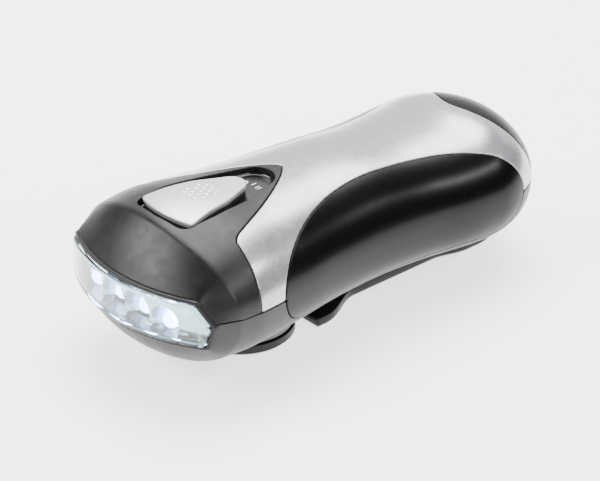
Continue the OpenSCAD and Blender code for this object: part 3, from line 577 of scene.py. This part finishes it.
MARK_WHITE = material("printed_white", (0.82, 0.82, 0.8), 0.5, tint=0.05, tint_size=0.6,
                      grain=0.004, grain_size=0.2)
LED_CORE = material("led_core", (1.0, 1.0, 0.95), 0.4, tint=0.03, tint_size=0.5,
                    emission=(0.85, 0.92, 1.0), glow=45.0)

slot_of = {part["node"]: part["material_slot"] for part in frame["record"]["subparts"]}
for node_name, node_object in NODES.items():
    node_object.data.materials.clear()
    node_object.data.materials.append(LOOKS[slot_of[node_name]])


def dress(thing, node, body="housing", look=None, slot=None):
    """Gives a made piece its finish and its body, and hides the CAD node that it stands for."""
    slot = slot or slot_of[node]
    thing.data.materials.append(look or LOOKS[slot])
    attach(thing, body)
    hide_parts(node)
    return thing


# ------------------------------------------------------------------ body panels
UP, DOWN = above_parting, no(above_parting)


def right_side(q, p):
    return p[:, 0]


left_side = no(right_side)
dress(panel("nose_hood_shell", [UP, hood_area, outside_recess, behind_frame]), "nose_hood")
dress(panel("top_cover_shell", [UP, no(hood_area), no(grip_area), no(inlay_area)]), "top_cover")
dress(panel("grip_left", [grip_area, right_side]), "side_grip_left")
dress(panel("grip_right", [grip_area, left_side]), "side_grip_right")
dress(panel("rear_inlay_shell", [UP, inlay_area]), "rear_inlay")
dress(panel("lower_shell", [DOWN, no(grip_area), behind_frame, outside_circle(0, HUB_Y, 15.6)]
            + [outside_circle(x, y, 2.6) for x, y in SCREWS]), "lower_housing")


# ------------------------------------------------------------------ swept and turned pieces
def sweep(name, paths, closed_profile=True):
    """Quads between rows of points, round a closed path. paths is (along, profile, 3)."""
    n, m = paths.shape[:2]
    faces = []
    for i in range(n):
        for j in range(m if closed_profile else m - 1):
            a, b = i * m + j, i * m + (j + 1) % m
            c, d = ((i + 1) % n) * m + (j + 1) % m, ((i + 1) % n) * m + j
            faces.append((a, b, c, d))
    thing = mesh_object(name, paths.reshape(-1, 3), faces)
    smooth_by_angle(thing)
    return thing


def smooth_by_angle(thing, degrees=35):
    """Joins repeated points, turns every face outward and keeps the edges sharper than the angle."""
    work = bmesh.new()
    work.from_mesh(thing.data)
    bmesh.ops.remove_doubles(work, verts=work.verts, dist=0.002 * MM)
    bmesh.ops.dissolve_degenerate(work, edges=work.edges, dist=0.001 * MM)
    bmesh.ops.recalc_face_normals(work, faces=work.faces)
    work.to_mesh(thing.data)
    work.free()
    thing.data.set_sharp_from_angle(angle=math.radians(degrees))


SLOT_HALF_W, SLOT_Y, RECESS_DEPTH = 1.3, (-45.0, -33.0), 4


def recess_pocket():
    """Tray of the slider's recess: a fillet between its wall and its floor, and a slot in the floor."""
    floor_z = float(along(np.array([-40.0]), TOP)[0]) - RECESS_DEPTH
    n = 240
    closed = np.vstack([RECESS, RECESS[:1]])
    lengths = np.concatenate([[0], np.cumsum(np.hypot(*np.diff(closed, axis=0).T))])
    at = np.linspace(0, lengths[-1], n, endpoint=False)
    ring = np.stack([np.interp(at, lengths, closed[:, 0]), np.interp(at, lengths, closed[:, 1])], 1)
    ahead = np.roll(ring, -1, 0) - np.roll(ring, 1, 0)
    inward = np.stack([-ahead[:, 1], ahead[:, 0]], 1) / np.hypot(*ahead.T)[:, None]
    top = along(ring[:, 1], TOP)
    w = along(ring[:, 1], HALF_W)
    top = parting(ring[:, 1]) + (top - parting(ring[:, 1])) * np.sqrt(1 - (ring[:, 0] / w) ** 2)
    fillet = 0.8
    levels = [(-1.0, np.full(n, floor_z - 1.2)), (-1.0, top - 1.2), (-0.16, top - 0.5), (0.0, top - 1.1)]
    levels += [(fillet * (1 - math.cos(t)), np.full(n, floor_z + fillet * (1 - math.sin(t))))
               for t in np.linspace(0, math.pi / 2, 6)]
    rows = [np.column_stack([ring + inward * inset, z]) for inset, z in levels]
    m = len(rows)
    faces = [(i * n + j, i * n + (j + 1) % n, (i + 1) * n + (j + 1) % n, (i + 1) * n + j)
             for i in range(m - 1) for j in range(n)]
    w, (y0, y1) = SLOT_HALF_W, SLOT_Y
    corners = [(-w, y0), (w, y0), (w, y1), (-w, y1)]
    slots = [np.array([(x, y, z) for x, y in corners]) for z in (floor_z - 1.2, floor_z)]
    points = np.vstack(rows + slots)
    low = m * n
    faces += [(low + k, low + (k + 1) % 4, low + 4 + (k + 1) % 4, low + 4 + k) for k in range(4)]
    for start, slot_start in ((0, low), ((m - 1) * n, low + 4)):
        index = [list(range(start, start + n)), list(range(slot_start, slot_start + 4))]
        flat = index[0] + index[1]
        for tri in tessellate_polygon([[Vector(points[k]) for k in loop] for loop in index]):
            faces.append(tuple(flat[k] for k in tri))
    thing = mesh_object("recess_pocket", points, faces)
    smooth_by_angle(thing, 50)
    return thing, floor_z


pocket, FLOOR_Z = recess_pocket()
RECESS_GLOSS = material("recess_gloss", (0.006, 0.006, 0.007), 0.22, tint=0.1, coat=0.3, wear=0.05)
dress(pocket, "nose_hood", look=RECESS_GLOSS)


def stroke(points, width=0.42, lift=0.03):
    """A printed line: a flat ribbon on the recess floor."""
    points = np.asarray(points, float)
    ahead = np.gradient(points, axis=0)
    across = np.stack([-ahead[:, 1], ahead[:, 0]], 1) / np.hypot(*ahead.T)[:, None]
    left, right = points + across * width / 2, points - across * width / 2
    n = len(points)
    rows = np.vstack([left, right])
    verts = np.vstack([np.column_stack([rows, np.full(2 * n, FLOOR_Z + z)]) for z in (0.005, lift)])
    faces = []
    for i in range(n - 1):
        a, b, c, d = i, i + 1, n + i + 1, n + i
        k = 2 * n
        faces += [(a + k, d + k, c + k, b + k), (a, b, c, d), (a, a + k, b + k, b), (d, c, c + k, d + k)]
    faces += [(0, n, 3 * n, 2 * n), (n - 1, 3 * n - 1, 4 * n - 1, 2 * n - 1)]
    return verts, faces


def marks():
    """Generic switch marks: an open ring for off, then one bar, then two bars."""
    turn = np.linspace(0, 2 * math.pi, 33)
    strokes = [np.column_stack([-2.5 + 0.8 * np.cos(turn), -24.6 + 0.8 * np.sin(turn)])]
    for x, y in ((0, -23.4), (2.0, -23.9), (3.0, -23.9)):
        strokes.append(np.column_stack([np.full(4, x), np.linspace(y - 0.9, y + 0.9, 4)]))
    verts, faces = [], []
    for line in strokes:
        v, f = stroke(line, 0.36)
        start = sum(len(x) for x in verts)
        faces += [tuple(k + start for k in face) for face in f]
        verts.append(v)
    return mesh_object("switch_marks", np.vstack(verts), faces)


switch_marks = marks()
switch_marks.data.materials.append(MARK_WHITE)
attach(switch_marks, "housing")

# ------------------------------------------------------------------ slider
CAP_SUNK, CAP_T = -0.34, 1.5
DIMPLE_R, DIMPLE_DEEP, DIMPLE_STEP = 0.82, 0.3, 2.35
DIMPLES = [(col * DIMPLE_STEP + (row % 2) * DIMPLE_STEP / 2, -42.6 + row * DIMPLE_STEP * 0.87)
           for row in range(-3, 4) for col in range(-3, 3)]
DIMPLES = [(x, y) for x, y in DIMPLES if (x / 4.6) ** 2 + ((y + 42.6) / 6.2) ** 2 < 1]


def dimple_relief(points):
    """Height of the finger dimples, and its slope: a shallow dish."""
    height, slope = np.zeros(len(points)), np.zeros_like(points)
    for x, y in DIMPLES:
        dx, dy = points[:, 0] - x, points[:, 1] - y
        d = np.hypot(dx, dy)
        u = np.clip(d / DIMPLE_R, 0, 1)
        height -= DIMPLE_DEEP * (1 - u**2) ** 2
        steep = DIMPLE_DEEP * 4 * u * (1 - u**2) / DIMPLE_R
        slope[:, 0] += steep * dx / np.maximum(d, 1e-6)
        slope[:, 1] += steep * dy / np.maximum(d, 1e-6)
    return height, slope


SLIDER_ROWS = np.linspace(2 - 0.3, 2.38, 190)
SLIDER_TURNS = np.linspace(math.radians(66), math.radians(114), 150)
dress(panel("slider_cap_shell", [in_slider], roll=0.5, gap=0.0, thick=CAP_T, sunk=CAP_SUNK,
            rows=SLIDER_ROWS, turns=SLIDER_TURNS, relief=dimple_relief), "slider_cap", "slider")

# ------------------------------------------------------------------ window frame, lens and reflector
FRAME_W = 1.0
PATH_STEPS = 360


def window_ring(offset, depth):
    """The window outline moved outward by offset and forward by depth from the window's front arc."""
    a = np.linspace(0, 2 * math.pi, 1440, endpoint=False)
    x, z = rim_outline(a)
    closed = np.column_stack([np.append(x, x[0]), np.append(z, z[0])])
    run = np.concatenate([[0], np.cumsum(np.hypot(*np.diff(closed, axis=0).T))])
    at = np.linspace(0, run[-1], PATH_STEPS, endpoint=False)
    x, z = np.interp(at, run, closed[:, 0]), np.interp(at, run, closed[:, 1])
    tx, tz = np.roll(x, -1) - np.roll(x, 1), np.roll(z, -1) - np.roll(z, 1)
    size = np.hypot(tx, tz)
    x, z = x + tz / size * offset, z - tx / size * offset
    return np.column_stack([x, WINDOW_Y + arc_drop(x) - depth, z])


def ring_piece(name, profile):
    return sweep(name, np.stack([window_ring(o, d) for o, d in profile], axis=1)[:, ::-1])


def rounded_profile(outer, inner, back, front, r):
    """Closed cross-section of a frame with rounded front edges: (outward offset, forward depth)."""
    turn = np.linspace(0, math.pi / 2, 5)
    loop = [(outer, back)]
    loop += [(outer - r + r * math.cos(t), front - r + r * math.sin(t)) for t in turn]
    loop += [(inner + r - r * math.sin(t), front - r + r * math.cos(t)) for t in turn]
    return loop + [(inner, back)]


FRAME_PROFILE = rounded_profile(0.0, -FRAME_W, -RIM_BACK - 1.6, -1.02, 0.3)
dress(ring_piece("window_frame", FRAME_PROFILE), "window_bezel")


def lens_piece():
    """Clear moulded window: a curved front with a bevelled edge and a deep wall all round behind it."""
    edge = -FRAME_W - 0.14
    wall, front_t, deep = 1.1, 1.5, 7.0
    turn = np.linspace(0, math.pi / 2, 5)
    profile = [(edge - wall, -deep), (edge, -deep), (edge, -0.6)]
    profile += [(edge - 0.12, -0.3), (edge - 0.4, -0.08), (edge - 0.8, 0.0)]
    outside = [window_ring(o, d) for o, d in profile]
    inside = [window_ring(o, d) for o, d in
              [(edge - wall, -deep), (edge - wall, -front_t - 0.5), (edge - wall - 0.5, -front_t)]]
    points, faces = [], []
    n = PATH_STEPS

    def add_rows(rows, flip):
        start = sum(len(p) for p in points)
        points.extend(rows)
        for i in range(len(rows) - 1):
            for j in range(n):
                a, b = start + i * n + j, start + i * n + (j + 1) % n
                c, d = start + (i + 1) * n + (j + 1) % n, start + (i + 1) * n + j
                faces.append((a, b, c, d) if flip else (a, d, c, b))

    add_rows(outside, True)
    shrink = np.linspace(1, 0, 10)[1:]
    last = outside[-1]
    centre_z = RIM_END_Z - 0.6

    def toward_axis(ring, share, depth):
        """Shrinks a ring's height towards the window's middle line, keeping it on the arc."""
        x = ring[:, 0] * (0.985 + 0.015 * share)
        z = centre_z + (ring[:, 2] - centre_z) * share
        return np.column_stack([x, WINDOW_Y + arc_drop(x) - depth, z])

    add_rows([toward_axis(last, s, 0.0) for s in [1.0, *shrink]], True)
    add_rows(inside, False)
    add_rows([toward_axis(inside[-1], s, -front_t) for s in [1.0, *shrink]], False)
    thing = mesh_object("lens_shell", np.vstack(points), faces)
    smooth_by_angle(thing, 30)
    return thing


dress(lens_piece(), "window_lens")

LED_PITCH, LED_Y, LED_Z, LED_R = 10.4, WINDOW_Y + 11.4, RIM_END_Z - 3, 2.5
LED_X = [k * LED_PITCH for k in (-1.5, -0.5, 0.5, 1.5)]


def reflector_piece():
    """One bright moulding with a bowl round each LED, behind the window."""
    face, bowl_r, deep = 4.6, 5.3, 6.2
    xs, zs = np.linspace(-29.4, 29.4, 236), np.linspace(20.4, 34.8, 66)
    gx, gz = np.meshgrid(xs, zs, indexing="ij")
    y = WINDOW_Y + arc_drop(gx) + face
    for x in LED_X:
        d = np.hypot(gx - x, (gz - LED_Z) * 0.93)
        y = np.maximum(y, LED_Y - 0.4 - deep * (d / bowl_r) ** 2)
    n, m = gx.shape
    points = np.stack([gx, y, gz], -1).reshape(-1, 3)
    i, j = np.meshgrid(np.arange(n - 1), np.arange(m - 1), indexing="ij")
    a = (i * m + j).ravel()
    tris = np.concatenate([np.stack([a, a + m, a + m + 1], 1), np.stack([a, a + m + 1, a + 1], 1)])
    x0, z0 = rim_outline(np.linspace(0, 2 * math.pi, 180, endpoint=False))
    outline = np.column_stack([x0, z0])
    middle = points[tris].mean(1)
    keep = depth_inside(middle[:, [0, 2]], outline) > 2.9
    kept, tris = used_only(points, tris[keep])
    back = kept + [0, 1.0, 0]
    n = len(kept)
    rim = open_edges(tris)
    walls = np.stack([rim[:, 1], rim[:, 0], rim[:, 0] + n, rim[:, 1] + n], 1)
    faces = tris.tolist() + (tris[:, ::-1] + n).tolist() + walls.tolist()
    thing = mesh_object("reflector_bowls", np.vstack([kept, back]), faces)
    smooth_by_angle(thing, 28)
    return thing


# The bowls glow where the LEDs shine on them
CUP_R = 4.2
reflector = dress(reflector_piece(), "reflector")
reflector.data.materials.append(CUP_GLOW)
for face in reflector.data.polygons:
    x, _, z = face.center / MM
    if min(math.hypot(x - led_x, z - LED_Z) for led_x in LED_X) < CUP_R:
        face.material_index = 1


def lathe(name, profile, axis="z", at=(0, 0, 0), steps=96):
    """A turned piece from (radius, distance along the axis) points."""
    turn = np.linspace(0, 2 * math.pi, steps, endpoint=False)
    rows = []
    for t in turn:
        row = []
        for r, h in profile:
            u, v = r * math.cos(t), r * math.sin(t)
            row.append({"z": (u, v, h), "y": (v, h, u), "-y": (u, -h, v), "x": (h, u, v)}[axis])
        rows.append(row)
    hollow = min(profile[0][0], profile[-1][0]) > 1e-6
    return sweep(name, np.array(rows) + np.array(at), closed_profile=hollow)


def dome_profile():
    """An LED's outline: flange, straight side and round tip."""
    flange, side_end = LED_R + 0.45, 2.4
    profile = [(0.0, -0.6), (flange, -0.6), (flange, 0.5), (LED_R, 0.62), (LED_R, side_end)]
    for t in np.linspace(0.1, math.pi / 2, 12):
        profile.append((LED_R * math.cos(t), side_end + LED_R * math.sin(t)))
    return profile


def leds():
    for k, x in enumerate(LED_X):
        dome = lathe(f"led_dome_{k + 1}", dome_profile(), "-y", (x, LED_Y, LED_Z), 48)
        dress(dome, "leds")
        cup = [(0.0, 0.3), (0.55, 0.3), (1.25, 1.5), (1.35, 1.5), (1.35, -0.2), (0.0, -0.2)]
        core = lathe(f"led_core_{k + 1}", cup, "-y", (x, LED_Y, LED_Z), 32)
        dress(core, "leds", look=LED_CORE)


leds()

# ------------------------------------------------------------------ crank


def rounded(outline, r, steps=4):
    """Rounds the convex corners of a lathe profile given as (radius, height) points."""
    out = [outline[0]]
    for before, here, after in zip(outline, outline[1:], outline[2:]):
        before, here, after = map(np.array, (before, here, after))
        back = (before - here) / max(np.linalg.norm(before - here), 1e-9)
        ahead = (after - here) / max(np.linalg.norm(after - here), 1e-9)
        cut_off = min(r, 0.45 * np.linalg.norm(before - here), 0.45 * np.linalg.norm(after - here))
        a, b = here + back * cut_off, here + ahead * cut_off
        for t in np.linspace(0, 1, steps + 1):
            out.append(tuple((1 - t) ** 2 * a + 2 * t * (1 - t) * here + t**2 * b))
    out.append(outline[-1])
    return out


collar = [(4.7, 3.4), (15.3, 3.4), (15.3, 11.6), (4.7, 11.6)]
hub_collar = lathe("hub_collar", rounded(collar, 0.6), "z", (0, HUB_Y, 0), 128)
# The collar wears the lighter grey of painted floor light in place of its slot's own finish.
dress(hub_collar, "bearing_housing", look=COLLAR_PAINTED_FLOOR_LIGHT)


def plate(name, outline, levels, holes=()):
    """A flat plate with holes right through. Its outline is inset at each (height, inset) level."""
    outline = np.asarray(outline, float)
    n = len(outline)
    ahead = np.roll(outline, -1, 0) - np.roll(outline, 1, 0)
    out = np.stack([ahead[:, 1], -ahead[:, 0]], 1) / np.hypot(*ahead.T)[:, None]
    rings = [np.column_stack([outline - out * inset, np.full(n, z)]) for z, inset in levels]
    points = [*rings]
    faces = []
    for i in range(len(rings) - 1):
        for j in range(n):
            a, b = i * n + j, i * n + (j + 1) % n
            faces.append((a, b, b + n, a + n))
    start = len(rings) * n
    loops = []
    low, high = levels[0][0], levels[-1][0]
    for hole in holes:
        hole = np.asarray(hole, float)
        m = len(hole)
        points.append(np.column_stack([hole, np.full(m, low)]))
        points.append(np.column_stack([hole, np.full(m, high)]))
        for j in range(m):
            a, b = start + j, start + (j + 1) % m
            faces.append((a, a + m, b + m, b))
        loops.append((start, m))
        start += 2 * m
    for ring_start, z_index in ((0, 0), ((len(rings) - 1) * n, 1)):
        index = [list(range(ring_start, ring_start + n))]
        index += [list(range(s + z_index * m, s + z_index * m + m)) for s, m in loops]
        all_points = np.vstack(points)
        flat = [k for loop in index for k in loop]
        tris = tessellate_polygon([[Vector(all_points[k]) for k in loop] for loop in index])
        for tri in tris:
            face = [flat[k] for k in tri]
            a, b, c = all_points[face]
            up = np.cross(b - a, c - a)[2]
            if (up > 0) != bool(z_index):
                face = face[::-1]
            faces.append(tuple(face))
    thing = mesh_object(name, np.vstack(points), faces)
    smooth_by_angle(thing, 32)
    return thing


def circle(x, y, r, steps=40):
    turn = np.linspace(0, 2 * math.pi, steps, endpoint=False)
    return np.column_stack([x + r * np.cos(turn), y + r * np.sin(turn)])


def arm_outline():
    front, end, long = -12.8, 57.0, 12.6
    mid, root, tip = 9.0, 15.5, 11.6
    ys = np.linspace(front + 1.0, end, 46)
    half = mid + (root - mid) * smooth((8 - ys) / 17) + (tip - mid) * smooth((ys - 40) / 12)
    corner = [(root - 1.0 + math.sin(t), front + 1.0 - math.cos(t))
              for t in np.linspace(0, math.pi / 2, 6)[:-1]]
    side = list(zip(half, ys))
    round_end = [(tip * math.cos(t), end + long * math.sin(t)) for t in np.linspace(0, math.pi / 2, 24)[1:]]
    right = corner + side + round_end
    return right + [(-x, y) for x, y in right[-2::-1]]


ARM_T = 3.4


def slot_outline():
    y0, y1, w, r = 46.8, 68.0, 2.95, 0.8
    loop = []
    corners = ((w - r, y1 - r, 0), (-w + r, y1 - r, 90), (-w + r, y0 + r, 180), (w - r, y0 + r, 270))
    for cx, cy, start in corners:
        for t in np.linspace(0, 90, 6):
            turn = math.radians(start + t)
            loop.append((cx + r * math.cos(turn), cy + r * math.sin(turn)))
    return loop


arm_levels = [(0.0, 1.0), (0.75, 0.25), (1.05, 0.03), (1.2, 0.0), (ARM_T - 0.5, 0.0), (ARM_T - 0.15, 0.14),
              (ARM_T, 0.45)]
arm = plate("crank_arm_plate", arm_outline(), arm_levels,
            [slot_outline(), circle(-3.4, -8.8, 1.9), circle(3.4, -8.8, 1.9)])
dress(arm, "crank_arm", "crank")


def knob_profile():
    """Roller with shallow finger grooves."""
    length, r = 13.4, 2.2
    profile = [(0.95, 0.0), (r - 0.5, 0.0), (r - 0.15, 0.15), (r, 0.5)]
    for k in range(4):
        mid = 2.6 + k * 2.7
        for t in np.linspace(0, math.pi, 9):
            profile.append((r - 0.28 * math.sin(t) ** 2, mid - 0.8 + 1.6 * t / math.pi))
    return profile + [(r, length - 0.5), (r - 0.15, length - 0.15), (r - 0.5, length), (0.95, length)]


KNOB_Y, KNOB_Z = 51.9, 2.4
dress(lathe("crank_roller", knob_profile(), "y", (0, KNOB_Y, KNOB_Z), 64), "crank_knob", "knob")

# ------------------------------------------------------------------ stage, light and camera
floor_mesh = bpy.data.meshes.new("floor")
floor_mesh.from_pydata([(-6, -6, 0), (6, -6, 0), (6, 6, 0), (-6, 6, 0)], [], [(0, 1, 2, 3)])
floor = bpy.data.objects.new("floor", floor_mesh)
bpy.context.scene.collection.objects.link(floor)
floor.location.z = CAD_BOX[0][2] - 0.00005
PALE_FLOOR = material("pale_floor", (0.9, 0.9, 0.9), 0.6, tint=0.004, tint_size=400, wear=0.02,
                      emission=(1, 1, 1), glow=1.9)
floor.data.materials.append(PALE_FLOOR)


def softbox(name, place, aim, width, height, power, colour=(1, 1, 1)):
    data = bpy.data.lights.new(name, "AREA")
    data.shape = "RECTANGLE"
    data.size, data.size_y = width, height
    data.energy = power
    data.color = colour
    light = bpy.data.objects.new(name, data)
    light.location = place
    light.rotation_euler = (Vector(aim) - Vector(place)).to_track_quat("-Z", "Y").to_euler()
    bpy.context.scene.collection.objects.link(light)


softbox("overhead", (-0.3, 0.35, 1.1), (0, 0.0, 0.02), 1.0, 1.0, 40)
softbox("strip", (0.8, 0.45, 0.85), (0, 0.02, 0.03), 0.9, 0.12, 8)
softbox("backdrop", (-1.2, 1.3, 0.55), (0, 0, 0.1), 3.0, 1.3, 18)
softbox("front_left", (-0.55, -0.75, 0.75), (0, -0.03, 0.03), 0.8, 0.45, 18)
softbox("right", (0.9, -0.15, 0.55), (0, -0.03, 0.02), 0.14, 0.14, 3.5)

world = bpy.data.worlds.new("studio")
world.use_nodes = True
world.node_tree.nodes["Background"].inputs["Color"].default_value = (1, 1, 1, 1)
world.node_tree.nodes["Background"].inputs["Strength"].default_value = 0.08
bpy.context.scene.world = world

AZIMUTH, ELEVATION, DISTANCE, LENS = math.radians(48.71), math.radians(29.61), 0.7944, 163.7
target = Vector((0, -0.00599, 0.02052))
back = Vector((math.sin(AZIMUTH) * math.cos(ELEVATION), -math.cos(AZIMUTH) * math.cos(ELEVATION),
               math.sin(ELEVATION)))
camera_data = bpy.data.cameras.new("camera")
camera_data.lens, camera_data.sensor_width = LENS, 36
camera_data.clip_start, camera_data.clip_end = 0.05, 20
camera = bpy.data.objects.new("camera", camera_data)
camera.location = target + back * DISTANCE
camera.rotation_mode = "QUATERNION"
camera.rotation_quaternion = (-back).to_track_quat("-Z", "Y")
bpy.context.scene.collection.objects.link(camera)
bpy.context.scene.camera = camera
